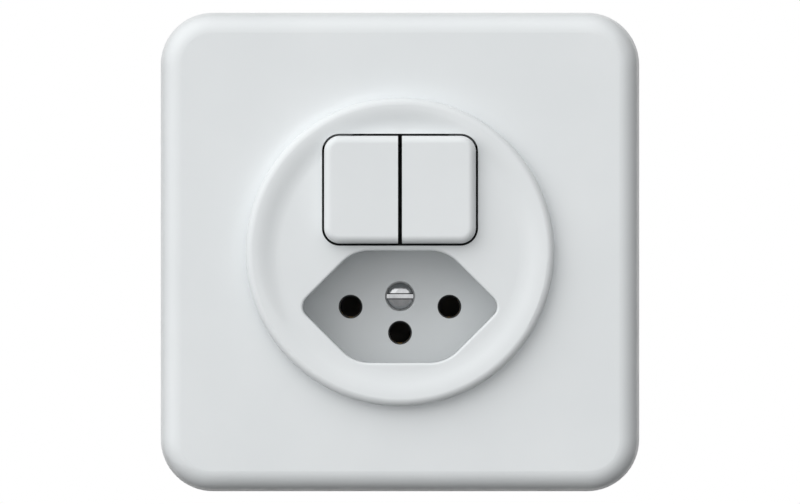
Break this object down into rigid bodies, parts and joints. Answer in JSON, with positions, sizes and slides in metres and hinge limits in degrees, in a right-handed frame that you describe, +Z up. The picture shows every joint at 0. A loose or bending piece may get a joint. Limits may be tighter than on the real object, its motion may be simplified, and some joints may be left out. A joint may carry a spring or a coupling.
{
  "type": "switch and socket combination",
  "caption": "Square flush-mounted wall unit with paired push switch keys above a recessed six-sided three-pin outlet, with its switch mechanism behind.",
  "frame": {"origin": "centre of the cover plate on the wall's surface", "axes": "+X to the right, +Y into the wall, +Z up; the front faces -Y"},
  "size_m": [0.092, 0.0437, 0.092],
  "materials": {
    "white_plastic": "smooth moulded white",
    "dark_plastic": "fine moulded dark grey",
    "grey_plastic": "moulded light grey",
    "zinc_steel": "zinc plated sheet",
    "nickel_steel": "nickel plated",
    "black_steel": "black oxide",
    "brass": "rolled brass",
    "bronze": "rolled bronze",
    "spring_steel": "bright spring steel"
  },
  "bodies": {
    "frame": {"centre_plate": "white_plastic", "centre_screw": "nickel_steel", "clamp_springs": "spring_steel", "cover_plate": "white_plastic", "earth_contact": "brass", "grip_rings": "spring_steel", "housing_back": "dark_plastic", "housing_base": "dark_plastic", "housing_cover": "dark_plastic", "housing_screws": "nickel_steel", "key_axle": "black_steel", "left_common_contact": "brass", "left_lower_contact": "brass", "left_return_spring": "spring_steel", "left_upper_contact": "brass", "live_contact": "brass", "mounting_plate": "zinc_steel", "mounting_rivets": "zinc_steel", "neutral_contact": "brass", "outlet_floor": "white_plastic", "right_common_contact": "brass", "right_lower_contact": "brass", "right_return_spring": "spring_steel", "right_upper_contact": "brass", "threaded_insert": "brass"},
    "left_key": {"left_key": "white_plastic"},
    "left_pusher": {"left_pusher": "grey_plastic", "left_striker": "spring_steel"},
    "left_tumbler": {"left_tumbler": "grey_plastic", "left_contact_bridge": "bronze"},
    "right_key": {"right_key": "white_plastic"},
    "right_pusher": {"right_pusher": "grey_plastic", "right_striker": "spring_steel"},
    "right_tumbler": {"right_tumbler": "grey_plastic", "right_contact_bridge": "bronze"}
  },
  "joints": [
    {"name": "left_key_press", "type": "hinge", "parent": "frame", "child": "left_key", "pos_m": [-0.0086, -0.01105, 0.01962], "axis": [1, 0, 0], "range_deg": [0, 6], "stiffness_Nm_per_rad": 0.2, "springref_deg": -6.88},
    {"name": "left_pusher_slide", "type": "slide", "parent": "frame", "child": "left_pusher", "axis": [0, 1, 0], "range_m": [0, 0.00128], "deforming": ["left_return_spring"]},
    {"name": "left_tumbler_tip", "type": "hinge", "parent": "frame", "child": "left_tumbler", "pos_m": [-0.0086, 0.012, 0.00743], "axis": [1, 0, 0], "range_deg": [0, 14]},
    {"name": "right_key_press", "type": "hinge", "parent": "frame", "child": "right_key", "pos_m": [0.0086, -0.01105, 0.01962], "axis": [1, 0, 0], "range_deg": [0, 6], "stiffness_Nm_per_rad": 0.2, "springref_deg": -6.88},
    {"name": "right_pusher_slide", "type": "slide", "parent": "frame", "child": "right_pusher", "axis": [0, 1, 0], "range_m": [0, 0.00128], "deforming": ["right_return_spring"]},
    {"name": "right_tumbler_tip", "type": "hinge", "parent": "frame", "child": "right_tumbler", "pos_m": [0.0086, 0.012, 0.00743], "axis": [1, 0, 0], "range_deg": [0, 14]}
  ],
  "couplings": [
    {"joint": "left_pusher_slide", "follows": "left_key_press", "m_per_rad": 0.01219},
    {"joint": "right_pusher_slide", "follows": "right_key_press", "m_per_rad": 0.01219}
  ]
}
